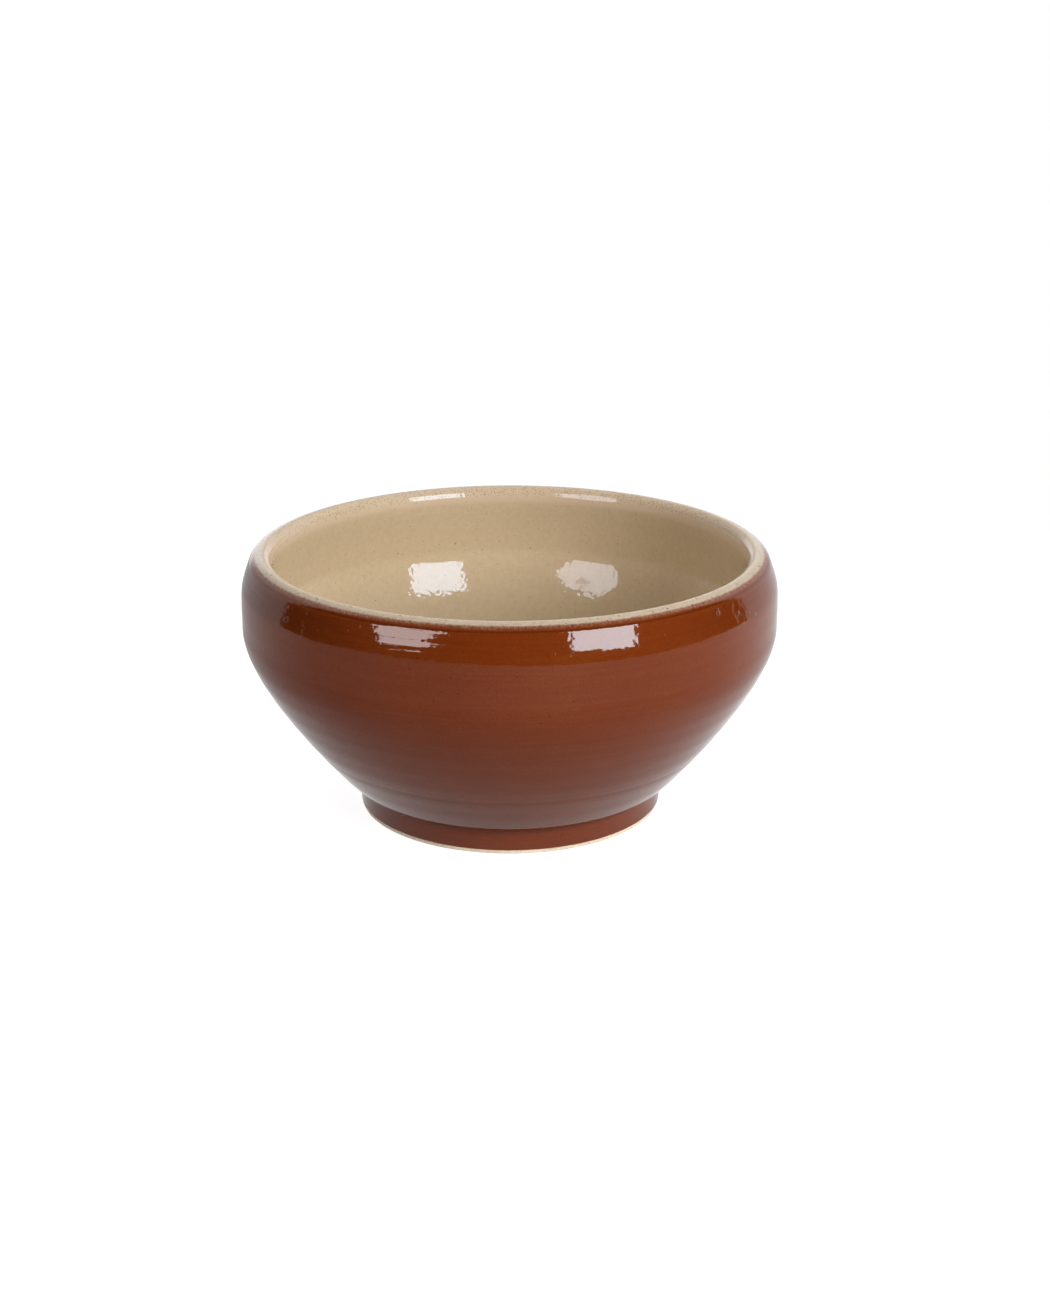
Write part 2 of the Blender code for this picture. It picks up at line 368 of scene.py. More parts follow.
class BowlStage(bpy.types.PropertyGroup):
    """Camera, lamps, surroundings and floor."""

    camera_place: bpy.props.FloatVectorProperty(
        name="Camera place",
        description="Where the camera stands",
        default=(0.00625, -0.78980, 0.33254),
        subtype="TRANSLATION",
        precision=5,
    )
    camera_pitch: angle("Camera pitch", "How far the camera looks down", 18.942)
    camera_lens: amount("Camera lens", "Focal length in millimetres on a 36 mm frame", 54.84)
    key_azimuth: angle("Key azimuth", "Right lamp, round from the front", 40.5)
    key_elevation: angle("Key elevation", "Right lamp, above the table", 26)
    key_roll: angle("Key roll", "How far the top of the right lamp leans to the right", 10)
    key_power: amount("Key power", "Watts of the right lamp", 12.9)
    fill_azimuth: angle("Fill azimuth", "Left lamp, round from the front", -43)
    fill_elevation: angle("Fill elevation", "Left lamp, above the table", 23)
    fill_power: amount("Fill power", "Watts of the left lamp", 7.3)
    lamp_colour: colour("Lamp colour", "Daylight of the lamps", (0.92, 0.97, 1.00))
    lamp_distance: length("Lamp distance", "From the bowl to either lamp", 1.3)
    key_width: length("Key width", "Width of the right lamp", 0.60)
    key_height: length("Key height", "Height of the right lamp", 0.62)
    fill_width: length("Fill width", "Width of the left lamp across its corners", 0.76)
    fill_rise: length("Fill rise", "From the widest level of the left lamp to its top", 0.20)
    fill_drop: length("Fill drop", "From the widest level of the left lamp to its foot", 0.545)
    key_shine: amount("Key shine", "Extra share of the right lamp that only the glaze mirrors", 0.10)
    fill_shine: amount("Fill shine", "Extra share of the left lamp that only the glaze mirrors", 0.95)
    fill_tint: colour("Fill tint", "Warm tint of that extra share", (0.98, 0.74, 0.67))
    bounce_azimuth: angle("Bounce azimuth", "White card at the right, round from the front", 64)
    bounce_elevation: angle("Bounce elevation", "White card at the right, above the table", 14)
    bounce_power: amount("Bounce power", "Watts that the card sends back", 6.5)
    bounce_size: length("Bounce size", "Width of the card", 0.90)
    room_dark: amount("Dark room", "Brightness of the room in front", 0.012)
    room_bright: amount("Bright room", "Brightness of the white backdrop", 0.75)
    room_mirrored: amount("Mirrored room", "Share of the backdrop's brightness that the glaze mirrors", 0.88)
    room_rise: amount("Room rise", "How much brighter the backdrop is overhead than at the horizon", 0.5)
    room_lean: amount("Room lean", "How much brighter the backdrop is at the right than in the middle", 0.22)
    room_edge: angle("Backdrop edge", "Where the backdrop starts, round from the front", 111.75)
    room_softness: angle("Backdrop softness", "Width of that edge", 4)
    room_turn: angle("Room turn", "How far the room is turned to the right", 3.75)
    room_overhang: amount("Overhang", "How far the backdrop's edge comes forward per angle of height", 0.15)
    window_left: amount("Left window", "Brightness of a white panel behind at the left, in the glaze", 0.95)
    window_right: amount("Right window", "Brightness of such a panel behind at the right", 0.5)
    window_near: angle("Window near", "Inner edge of a panel, from straight behind", 4)
    window_far: angle("Window far", "Outer edge of a panel, from straight behind", 22)
    window_top: angle("Window top", "Upper edge of a panel, above the table", 19)
    window_softness: angle("Window softness", "Width of a panel's soft edge", 12)
    floor_radius: length("Floor radius", "Radius of the white floor", 0.85)
    floor_colour: colour("Floor colour", "White floor", (0.62, 0.62, 0.62))
    floor_lift: amount("Floor lift", "Glow of the floor close to the bowl", 0.80)
    floor_mirrored: amount("Mirrored floor", "Brightness of the floor in front, in the glaze", 0.33)
    floor_behind: amount("Floor behind", "Brightness of the floor behind, in the glaze", 0.66)
    floor_near: length("Floor near", "Where the floor starts to turn plain white", 0.16)
    floor_far: length("Floor far", "Where the floor is plain white", 0.60)


# Outlines of the cross-section

def left_of(direction):
    """Unit vector to the left of a direction, which is away from the clay along every outline."""
    return Vector((-direction.y, direction.x)).normalized()


def cubic(start, start_pull, end, end_pull, steps):
    """A cubic curve as (point, normal) pairs."""
    second = start + start_pull
    third = end + end_pull
    pairs = []
    for step in range(steps + 1):
        t = step / steps
        s = 1 - t
        point = s**3 * start + 3 * s * s * t * second + 3 * s * t * t * third + t**3 * end
        slope = s * s * (second - start) + 2 * s * t * (third - second) + t * t * (end - third)
        pairs.append((point, left_of(slope)))
    return pairs


def arc(centre, radius, first_angle, last_angle, steps):
    """A round corner as (point, normal) pairs."""
    pairs = []
    for step in range(steps + 1):
        turn = first_angle + (last_angle - first_angle) * step / steps
        normal = Vector((cos(turn), sin(turn)))
        pairs.append((centre + radius * normal, normal))
    return pairs


def straight(start, end, normal, steps):
    """A straight stretch as (point, normal) pairs."""
    return [(start.lerp(end, step / steps), normal) for step in range(steps + 1)]


def lip_rounding(shape, first_angle, last_angle, steps):
    """A stretch of the rounding on the outer side of the crest."""
    centre = Vector((shape.lip_radius, shape.bowl_height - shape.lip_corner))
    return arc(centre, shape.lip_corner, first_angle, last_angle, steps)


def shoulder_skin(shape, fine):
    """Outside of the shoulder, from the end of the lip's rounding down to the widest ring."""
    down_lip = Vector((sin(shape.lip_lean), -cos(shape.lip_lean)))
    rise = shape.bowl_height - shape.belly_height
    return cubic(
        lip_rounding(shape, shape.lip_meeting, shape.lip_lean, fine.corner)[-1][0],
        shape.shoulder_pull * rise * down_lip,
        Vector((shape.belly_radius, shape.belly_height)),
        Vector((0, shape.belly_pull_up * rise)),
        fine.shoulder,
    )


def wall_skin(shape, fine):
    """Outside of the wall, from the widest ring down to the glaze edge on the foot."""
    widest = Vector((shape.belly_radius, shape.belly_height))
    wall_start = Vector((shape.foot_radius + shape.foot_cove, shape.foot_height))
    foot_top = Vector((shape.foot_radius, shape.foot_height - shape.foot_cove_drop))
    foot_edge = Vector((shape.foot_radius, shape.bare_height))
    rise = shape.belly_height - shape.foot_height
    up_wall = Vector((sin(shape.wall_slope), cos(shape.wall_slope)))
    wall = cubic(
        widest,
        Vector((0, -shape.belly_pull_down * rise)),
        wall_start,
        shape.wall_pull * rise * up_wall,
        fine.wall,
    )
    foot_cove = cubic(
        wall_start,
        -shape.foot_cove / 2 * up_wall,
        foot_top,
        Vector((0, shape.foot_cove_drop / 2)),
        fine.foot_cove,
    )
    foot = straight(foot_top, foot_edge, Vector((1, 0)), fine.foot)
    return wall + foot_cove[1:] + foot[1:]


def outside_skin(shape, fine):
    """Plain surface of the brown coat, from its edge on the lip down to its edge on the foot."""
    corner = lip_rounding(shape, shape.lip_meeting, shape.lip_lean, fine.corner)
    return corner + shoulder_skin(shape, fine)[1:] + wall_skin(shape, fine)[1:]


def lip_skin(shape, fine):
    """Surface of the cream coat over the lip, from the narrowest ring to its edge on the outside."""
    crest = Vector((shape.lip_radius, shape.bowl_height))
    inside = cubic(
        crest - Vector((shape.lip_reach, shape.lip_drop)),
        Vector((0, shape.lip_pull * shape.lip_drop)),
        crest,
        Vector((-shape.lip_pull * shape.lip_reach, 0)),
        fine.lip,
    )
    return inside + lip_rounding(shape, pi / 2, shape.lip_meeting, fine.corner)[1:]


def inside_shoulder_skin(shape, fine):
    """Inside of the shoulder, from the widest ring up to the narrowest one."""
    widest = Vector((shape.belly_radius - shape.belly_wall, shape.belly_height))
    throat = Vector((shape.lip_radius - shape.lip_reach, shape.bowl_height - shape.lip_drop))
    pull = shape.inside_pull * Vector((0, throat.y - widest.y))
    return cubic(widest, pull, throat, -pull, fine.shoulder)


def climbing_from(skin, height):
    """The part of a climbing skin above this height, with a first pair exactly there."""
    above = [pair for pair in skin if pair[0].y > height]
    (low, low_normal), (high, high_normal) = skin[-len(above) - 1], above[0]
    share = (height - low.y) / (high.y - low.y)
    start = (low.lerp(high, share), low_normal.lerp(high_normal, share).normalized())
    return [start] + above


def inside_skin(shape, fine):
    """Plain surface of the cream coat, from the middle of the floor over the lip to its outer edge."""
    full_wall = []
    for point, normal in reversed(wall_skin(shape, fine)):
        share = eased(point.y, shape.foot_height, shape.belly_height)
        thickness = shape.wall + share * (shape.belly_wall - shape.wall)
        full_wall.append((point - thickness * normal, -normal))
    wall = climbing_from(full_wall, shape.floor_height + shape.cove_rise)

    floor_edge = Vector((shape.floor_radius, shape.floor_height))
    floor = straight(Vector((0, shape.floor_height)), floor_edge, Vector((0, 1)), fine.floor)
    wall_foot, wall_normal = wall[0]
    reach = shape.cove_pull * (wall_foot - floor_edge).length
    up_wall = Vector((wall_normal.y, -wall_normal.x))
    cove = cubic(floor_edge, Vector((reach, 0)), wall_foot, -reach * up_wall, fine.cove)
    shoulder = inside_shoulder_skin(shape, fine)
    return floor + cove[1:] + wall[1:] + shoulder[1:] + lip_skin(shape, fine)[1:]


# Turning marks, as heights above the plain surface

def groove(place, centre, width, depth):
    """A rounded groove across a skin."""
    return -depth * exp(-(((place - centre) / width) ** 2))


def eased(place, start, end):
    """A smooth rise from 0 to 1."""
    t = min(1, max(0, (place - start) / (end - start)))
    return t * t * (3 - 2 * t)


def outside_mark(marks, shape, point):
    """Depth of the marks on the outside, at a point of the cross-section."""
    height = point.y
    on_wall = eased(height, shape.foot_height, 2 * shape.foot_height)
    below_lip = eased(height, shape.bowl_height, shape.belly_height)
    ripple = marks.ripple_depth * (sin(tau * height / marks.ripple_length) - 1)
    line = groove(height, marks.line_height, marks.line_width, marks.line_depth)
    return on_wall * below_lip * ripple + line


def inside_mark(marks, shape, point):
    """Depth of the marks on the inside, at a point of the cross-section."""
    path = point.x + point.y
    rings = marks.floor_ripple_depth * (sin(tau * path / marks.floor_ripple_length) - 1)
    from_middle = eased(point.x, 0, 2 * marks.floor_ripple_length)
    on_floor = eased(point.y, shape.floor_height + 2 * shape.cove_rise, shape.floor_height)
    return from_middle * on_floor * rings


def marked(skin, mark):
    """The points of a skin with its marks."""
    return [point + mark(point) * normal for point, normal in skin]


def sunk(skin, depth):
    """The points that lie this deep under a plain skin."""
    return [point - depth * normal for point, normal in skin]


# Solids

def hand_turned(shape, marks, solid):
    """Lets the turned wall stray inwards by a little, alike for every coat at one place."""
    for vertex in solid.verts:
        around = Vector((vertex.co.x, vertex.co.y))
        if around.length < shape.floor_radius / 2:
            continue
        direction = around.normalized() * shape.belly_radius * marks.wobble_around
        wave = noise.noise(Vector((direction.x, direction.y, vertex.co.z * marks.wobble_up)))
        stray = marks.wobble * (wave - 1) / 2 * eased(vertex.co.z, 0, shape.foot_height)
        vertex.co.x += stray * around.normalized().x
        vertex.co.y += stray * around.normalized().y


def turned(name, outline, material, scene):
    """A closed solid turned about Z from an outline, which ends on the axis or closes on itself."""
    solid = bmesh.new()
    points = [solid.verts.new((point.x, 0, point.y)) for point in outline]
    edges = [solid.edges.new(pair) for pair in zip(points, points[1:])]
    if outline[0].x > 0:
        edges.append(solid.edges.new((points[-1], points[0])))
    bmesh.ops.spin(
        solid,
        geom=points + edges,
        cent=(0, 0, 0),
        axis=(0, 0, 1),
        angle=tau,
        steps=scene.bowl_fineness.around,
        use_merge=True,
    )
    bmesh.ops.remove_doubles(solid, verts=solid.verts, dist=MERGE_DISTANCE)
    bmesh.ops.recalc_face_normals(solid, faces=solid.faces)
    hand_turned(scene.bowl_shape, scene.bowl_marks, solid)
    mesh = bpy.data.meshes.new(name)
    solid.to_mesh(mesh)
    solid.free()
    mesh.shade_smooth()
    mesh.set_sharp_from_angle(angle=SHARP_ANGLE)
    mesh.materials.append(material)
    piece = bpy.data.objects.new(name, mesh)
    scene.collection.objects.link(piece)
    return piece


# Shader wiring

def put(tree, kind, **values):
    """Adds a node, with its settings by attribute name."""
    made = tree.nodes.new("ShaderNode" + kind)
    for name, value in values.items():
        setattr(made, name, value)
    return made


def wire(tree, socket, value):
    """Links an output to a socket, or writes a plain value there."""
    if isinstance(value, bpy.types.NodeSocket):
        tree.links.new(value, socket)
    elif hasattr(value, "__len__") and len(value) == 3 and socket.type == "RGBA":
        socket.default_value = (*value, 1)
    else:
        socket.default_value = value


def fed(tree, made, *values):
    """The outputs of a node, once these values are wired to its first inputs."""
    for socket, value in zip(made.inputs, values):
        wire(tree, socket, value)
    return made.outputs


def reckon(tree, operation, first, second=0.0):
    """One sum on values."""
    return fed(tree, put(tree, "Math", operation=operation), first, second)[0]


def scaled(tree, value, *factors):
    """A value times each of these."""
    for factor in factors:
        value = reckon(tree, "MULTIPLY", value, factor)
    return value


def summed(tree, value, *others):
    """A value plus each of these."""
    for other in others:
        value = reckon(tree, "ADD", value, other)
    return value


def rest_of(tree, value):
    """What a value leaves of 1."""
    return reckon(tree, "SUBTRACT", 1.0, value)


def shift(tree, operation, first, second):
    """One sum on vectors or colours."""
    return fed(tree, put(tree, "VectorMath", operation=operation), first, second)["Vector"]


def measure(tree, operation, first, second=(0, 0, 0)):
    """One number out of vectors, such as a length."""
    return fed(tree, put(tree, "VectorMath", operation=operation), first, second)["Value"]


def axes(tree, place):
    """X, Y and Z of a place."""
    return fed(tree, put(tree, "SeparateXYZ"), place)


def from_axis(tree, position):
    """Distance of a place from the bowl's axis."""
    return measure(tree, "LENGTH", shift(tree, "MULTIPLY", position, (1, 1, 0)))


def ease(tree, value, start, end, low=0.0, high=1.0):
    """A smooth step: from start to end, a value turns into low to high."""
    made = put(tree, "MapRange", interpolation_type="SMOOTHSTEP")
    return fed(tree, made, value, start, end, low, high)["Result"]


def band(tree, value, start, full, fading, end):
    """A soft band: it rises from its start until it is full, and falls from fading to its end."""
    return scaled(tree, ease(tree, value, start, full), ease(tree, value, end, fading))


def blend(tree, factor, first, second, kind="RGBA"):
    """Mixes two colours, or two plain numbers."""
    made = put(tree, "Mix", data_type=kind)
    *entries, result = MIX_SOCKETS[kind]
    for entry, value in zip(entries, (factor, first, second)):
        wire(tree, made.inputs[entry], value)
    return made.outputs[result]


def tinted(tree, paint, mask, strength, tint):
    """A paint with a tint laid over it where a mask is, this strongly."""
    return blend(tree, scaled(tree, mask, strength), paint, tint)


def clouds(tree, position, waves):
    """Noise with these waves, from 0 to 1."""
    made = put(tree, "TexNoise")
    wire(tree, made.inputs["Vector"], shift(tree, "MULTIPLY", position, waves[:3]))
    made.inputs["Scale"].default_value = 1.0
    made.inputs["Detail"].default_value = waves.layers
    return made.outputs["Fac"]


def swaying(tree, position, waves):
    """Noise with these waves, to both sides of 0."""
    return reckon(tree, "SUBTRACT", clouds(tree, position, waves), NOISE_MEAN)


def bump(tree, height, distance, normal=None):
    """Raises the surface by a height, with a full rise of this many metres."""
    made = put(tree, "Bump")
    made.inputs["Strength"].default_value = 1.0
    made.inputs["Distance"].default_value = distance
    wire(tree, made.inputs["Height"], height)
    if normal is not None:
        wire(tree, made.inputs["Normal"], normal)
    return made.outputs["Normal"]


def new_group(name, inputs, outputs):
    """An empty shader group with these sockets: its tree, what it is given and what it puts out."""
    tree = bpy.data.node_groups.new(name, "ShaderNodeTree")
    for label, kind in inputs.items():
        tree.interface.new_socket(label, in_out="INPUT", socket_type="NodeSocket" + kind)
    for label, kind in outputs.items():
        tree.interface.new_socket(label, in_out="OUTPUT", socket_type="NodeSocket" + kind)
    entry = tree.nodes.new("NodeGroupInput")
    exit_node = tree.nodes.new("NodeGroupOutput")
    return tree, entry.outputs, exit_node.inputs


def use_group(tree, name, **values):
    """Places a group in a material or in another group."""
    made = put(tree, "Group", node_tree=bpy.data.node_groups[name])
    for label, value in values.items():
        wire(tree, made.inputs[label.replace("_", " ")], value)
    return made.outputs


def speckle(tree, position, specks):
    """Mask of scattered specks."""
    places = {"Spacing": specks.spacing, "Size": specks.size, "Share": specks.share}
    return use_group(tree, "Specks", Position=position, **places)["Mask"]


def sprinkled(tree, paint, position, specks, tint):
    """A paint with scattered specks of a tint."""
    return tinted(tree, paint, speckle(tree, position, specks), specks.strength, tint)


# Shared effects

def specks_group():
    """Scattered round specks: a share of the cells of a lattice holds one."""
    tree, given, out = new_group(
        "Specks",
        {"Position": "Vector", "Spacing": "Float", "Size": "Float", "Share": "Float"},
        {"Mask": "Float"},
    )
    cells = put(tree, "TexVoronoi")
    cells.inputs["Scale"].default_value = 1.0
    stretch = reckon(tree, "DIVIDE", 1.0, given["Spacing"])
    wire(tree, cells.inputs["Vector"], shift(tree, "MULTIPLY", given["Position"], stretch))
    size = reckon(tree, "DIVIDE", given["Size"], given["Spacing"])
    dot = ease(tree, cells.outputs["Distance"], size, scaled(tree, size, SPECK_CORE))
    chance = fed(tree, put(tree, "SeparateColor"), cells.outputs["Color"])[0]
    kept = reckon(tree, "LESS_THAN", chance, given["Share"])
    wire(tree, out["Mask"], scaled(tree, dot, kept))


def turning_group():
    """Fine lines round the bowl, which come and go along their way, and broad bands."""
    tree, given, out = new_group(
        "Turning lines", {"Position": "Vector"}, {"Lines": "Float", "Bands": "Float"}
    )
    wire(tree, out["Lines"], clouds(tree, given["Position"], TURNING_LINES))
    wire(tree, out["Bands"], clouds(tree, given["Position"], TURNING_BANDS))


def outside_place(shape, fine, azimuth, height):
    """The point of the outside at this azimuth, round from the front, and height."""
    skin = outside_skin(shape, fine)
    radius = min(skin, key=lambda pair: abs(pair[0].y - height))[0].x
    return (radius * sin(azimuth), -radius * cos(azimuth), height)


def brown_group(finish, shape, fine):
    """Brown glaze: reddish, streaked by turning lines, with pale pinholes, dark specks, runs and nicks, and
    painted shade at the sides of the shoulder.
    """
    tree, given, out = new_group(
        "Brown glaze", {"Position": "Vector"}, {"Color": "Color", "Pits": "Float"}
    )
    position = given["Position"]
    place = axes(tree, position)
    on_shoulder = band(tree, place["Z"], *SHOULDER)
    lines = use_group(tree, "Turning lines", Position=position)
    tone = summed(
        tree,
        scaled(tree, lines["Lines"], LINES_SHARE),
        scaled(tree, lines["Bands"], BANDS_SHARE),
        scaled(tree, clouds(tree, position, BROWN_DRIFT), DRIFT_SHARE),
        scaled(tree, clouds(tree, position, BROWN_GRAIN), GRAIN_SHARE),
    )
    paint = blend(tree, ease(tree, tone, *BROWN_TONE), finish.brown, finish.brown_thin)
    paint = sprinkled(tree, paint, position, BROWN_IRON, finish.brown_deep)
    pinholes = speckle(tree, position, PINHOLES)
    paint = tinted(tree, paint, pinholes, PINHOLES.strength, finish.clay)

    # Painted shade: the shoulder is darkened with deep brown towards its left and right sides, more on the
    # left, where less lamp light falls
    side_shade = summed(tree, ease(tree, place["X"], *SHOULDER_SHADE_LEFT), ease(tree, place["X"], *SHOULDER_SHADE_RIGHT))
    paint = blend(tree, scaled(tree, side_shade, on_shoulder), paint, finish.brown_deep)
    gold = blend(tree, GOLD_SHARE, finish.brown_thin, finish.cream)
    flecks = speckle(tree, shift(tree, "MULTIPLY", position, FLECK_STRETCH), GOLDEN_FLECKS)
    patches = ease(tree, clouds(tree, position, GOLDEN_PATCHES), *PATCH_EDGE)
    golden = scaled(tree, flecks, patches, on_shoulder)
    paint = tinted(tree, paint, golden, GOLDEN_FLECKS.strength, gold)

    sway = scaled(tree, swaying(tree, position, RUN_SWAY), RUN_STRAY)
    broken = ease(tree, clouds(tree, position, RUN_BREAKS), *BREAK_EDGE)
    for azimuth in RUNS:
        across = measure(tree, "DOT_PRODUCT", position, (cos(azimuth), sin(azimuth), 0))
        ahead = measure(tree, "DOT_PRODUCT", position, (sin(azimuth), -cos(azimuth), 0))
        beside = reckon(tree, "ABSOLUTE", summed(tree, across, sway))
        run = scaled(tree, ease(tree, beside, *RUN_EDGE), broken, ease(tree, ahead, *RUN_SIDE), on_shoulder)
        paint = tinted(tree, paint, run, RUN_STRENGTH, gold)

    pits = speckle(tree, position, PITS)
    paint = tinted(tree, paint, pits, PITS.strength, finish.iron)
    dents = reckon(tree, "MAXIMUM", pits, pinholes)
    crumbs = clouds(tree, position, NICK_CRUMBS)
    scabs = ease(tree, crumbs, *SCAB_EDGE)
    chips = ease(tree, crumbs, *CHIP_EDGE)
    for azimuth, height, size in NICKS:
        away = measure(tree, "DISTANCE", position, outside_place(shape, fine, azimuth, height))
        nick = ease(tree, away, size, NICK_CORE * size)
        scab = scaled(tree, nick, scabs)
        paint = tinted(tree, paint, scab, SCAB_STRENGTH, finish.iron)
        paint = tinted(tree, paint, scaled(tree, nick, chips), CHIP_STRENGTH, gold)
        dents = reckon(tree, "MAXIMUM", dents, scab)
    wire(tree, out["Color"], paint)
    wire(tree, out["Pits"], dents)


def cream_group(finish, shape):
    """Buff glaze: softly mottled, with fine sand and iron specks, thin and sandy over the lip, and with
    painted light: lighter under the shoulder inside, darker towards the floor.
    """
    tree, given, out = new_group(
        "Cream glaze", {"Position": "Vector"}, {"Color": "Color", "Sand": "Float"}
    )
    position = given["Position"]
    height = axes(tree, position)["Z"]
    crest = shape.bowl_height
    on_lip = ease(tree, height, crest - SAND_START, crest - SAND_FULL)
    pale = ease(tree, height, crest - PALE_START, crest - PALE_FULL)
    thin_start = shape.lip_radius - THIN_INSIDE
    thin_end = shape.lip_radius + THIN_OUTSIDE
    outer = ease(tree, from_axis(tree, position), thin_start, thin_end, 0.0, THIN_LOSS)
    thin = rest_of(tree, scaled(tree, outer, on_lip))
    # Painted light: the buff glaze is made lighter under the shoulder, where the inward-leaning wall lies in
    # shade, and darker towards the floor
    depth = scaled(tree, ease(tree, height, *CREAM_PAINTED_LIGHT_LOW), ease(tree, height, *CREAM_PAINTED_LIGHT_HIGH))
    mottle = scaled(tree, clouds(tree, position, CREAM_MOTTLE), MOTTLE_SHARE)
    grain = scaled(tree, clouds(tree, position, CREAM_GRAIN), 1 - MOTTLE_SHARE)
    dim = shift(tree, "MULTIPLY", finish.cream, CREAM_DIM)
    paint = blend(tree, ease(tree, summed(tree, mottle, grain), *CREAM_TONE), dim, finish.cream)
    paint = tinted(tree, paint, pale, PALE_SHARE, finish.cream_pale)
    paint = shift(tree, "MULTIPLY", paint, scaled(tree, thin, depth))
    moved = shift(tree, "ADD", position, CREAM_SPECK_SHIFT)
    paint = sprinkled(tree, paint, moved, CREAM_IRON, finish.iron)
    paint = sprinkled(tree, paint, moved, CREAM_DUST, finish.sand)
    sand = scaled(tree, speckle(tree, position, LIP_SAND), on_lip)
    paint = tinted(tree, paint, sand, LIP_SAND.strength, finish.sand)
    wire(tree, out["Color"], paint)
    wire(tree, out["Sand"], sand)


def meeting_group(finish, shape):
    """Where the brown glaze meets the cream one, just under the crest of the lip on the outside."""
    tree, given, out = new_group(
        "Glaze meeting",
        {"Position": "Vector", "Brown": "Color", "Cream": "Color", "Cream Coat": "Float"},
        {"Color": "Color", "Cream": "Float"},
    )
    position = given["Position"]
    plain_height = axes(tree, position)["Z"]
    stray = scaled(tree, swaying(tree, position, MEETING_WANDER), MEETING_STRAY)
    height = summed(tree, plain_height, stray)
    level = finish.meeting_height
    soft = finish.meeting_softness
    above = ease(tree, height, level - soft / 2, level + soft / 2)
    outer = reckon(tree, "GREATER_THAN", from_axis(tree, position), shape.lip_radius)
    upper = reckon(tree, "GREATER_THAN", plain_height, shape.bowl_height - shape.lip_corner)
    within = reckon(tree, "SUBTRACT", given["Cream Coat"], scaled(tree, outer, upper))
    cream = reckon(tree, "MAXIMUM", above, within)
    pooled = band(tree, height, level - 4 * soft, level - 3 * soft, level - 3 * soft, level - 2 * soft)
    paint = tinted(tree, given["Brown"], pooled, POOL_STRENGTH, finish.brown_deep)
    runs = ease(tree, height, level - 2.5 * soft, level - 0.5 * soft)
    streaks = ease(tree, clouds(tree, position, MEETING_STREAKS), *STREAK_EDGE)
    buff = blend(tree, BUFF_SHARE, finish.brown_thin, given["Cream"])
    paint = tinted(tree, paint, scaled(tree, runs, streaks), FRINGE_STRENGTH, buff)
    paint = blend(tree, cream, paint, given["Cream"])
    edge = band(tree, height, level - 2 * soft, level - soft, level + soft, level + 2 * soft)
    iron = scaled(tree, edge, speckle(tree, position, MEETING_IRON), outer)
    paint = tinted(tree, paint, iron, MEETING_IRON.strength, finish.iron)
    wire(tree, out["Color"], paint)
    wire(tree, out["Cream"], cream)


def skin_group():
    """Heights of the glaze's skin: turning lines, a swell, soft dimples and a hollow inside the lip."""
    tree, given, out = new_group(
        "Glaze skin",
        {"Position": "Vector", "Cream Coat": "Float"},
        {"Ridges": "Float", "Dimples": "Float"},
    )
    position = given["Position"]
    place = axes(tree, position)
    lines = use_group(tree, "Turning lines", Position=position)["Lines"]
    strength = scaled(tree, ease(tree, place["X"], *RIDGES_LEFT), ease(tree, place["Z"], *RIDGES_UP))
    swell = ease(tree, place["Z"], *SWELL_UP)
    swell = scaled(tree, swell, ease(tree, place["X"], *SWELL_END), ease(tree, place["X"], *SWELL_LEFT))
    grooves = scaled(tree, swaying(tree, position, TURNING_GROOVES), strength, GROOVE_STRENGTH)
    coarse = scaled(tree, summed(tree, grooves, swell), COARSE_STRENGTH)
    wire(tree, out["Ridges"], summed(tree, scaled(tree, lines, strength), coarse))
    calm = reckon(tree, "MAXIMUM", ease(tree, place["Z"], *DIMPLES_UP), given["Cream Coat"])
    dimples = scaled(tree, clouds(tree, position, DIMPLES), calm)
    hollow = scaled(tree, band(tree, place["Z"], *LIP_HOLLOW), given["Cream Coat"], HOLLOW_STRENGTH)
    wire(tree, out["Dimples"], reckon(tree, "SUBTRACT", dimples, hollow))


# Materials

def new_material(name):
    """A material with its shader and its object coordinates."""
    material = bpy.data.materials.new(name)
    material.use_nodes = True
    tree = material.node_tree
    shader = tree.nodes["Principled BSDF"]
    shader.inputs["Metallic"].default_value = 0
    position = put(tree, "TexCoord").outputs["Object"]
    return material, tree, shader, position


def glaze_material(name, finish, cream_coat, sheen, ridge_height, dimple_height):
    """One of the two glazes, with the other one across their meeting line."""
    material, tree, shader, position = new_material(name)
    brown = use_group(tree, "Brown glaze", Position=position)
    cream = use_group(tree, "Cream glaze", Position=position)
    meeting = use_group(
        tree,
        "Glaze meeting",
        Position=position,
        Brown=brown["Color"],
        Cream=cream["Color"],
        Cream_Coat=cream_coat,
    )
    skin = use_group(tree, "Glaze skin", Position=position, Cream_Coat=cream_coat)
    wire(tree, shader.inputs["Base Color"], meeting["Color"])
    rough = scaled(tree, cream["Sand"], meeting["Cream"])
    wire(tree, shader.inputs["Roughness"], ease(tree, rough, 0, 1, finish.gloss, SAND_ROUGHNESS))
    shader.inputs["IOR"].default_value = GLAZE_IOR
    shader.inputs["Specular Tint"].default_value = (*sheen, 1)
    normal = bump(tree, skin["Ridges"], ridge_height)
    normal = bump(tree, skin["Dimples"], dimple_height, normal)
    dents = rest_of(tree, scaled(tree, brown["Pits"], rest_of(tree, meeting["Cream"])))
    wire(tree, shader.inputs["Normal"], bump(tree, dents, DENT_DEPTH, normal))
    return material


def clay_material(finish):
    """Bare fired clay: sandy, with grog."""
    material, tree, shader, position = new_material("bare_clay")
    grain = clouds(tree, position, CLAY_GRAIN)
    drift = scaled(tree, clouds(tree, position, CLAY_DRIFT), CLAY_DRIFT_SHARE)
    tone = summed(tree, scaled(tree, grain, CLAY_GRAIN_SHARE), drift)
    paint = blend(tree, ease(tree, tone, *CLAY_TONE), finish.clay_dark, finish.clay)
    paint = sprinkled(tree, paint, position, CLAY_GROG, finish.iron)
    wire(tree, shader.inputs["Base Color"], paint)
    shader.inputs["Roughness"].default_value = finish.clay_roughness
    wire(tree, shader.inputs["Normal"], bump(tree, grain, CLAY_GRAIN_DEPTH))
    return material


# Operators

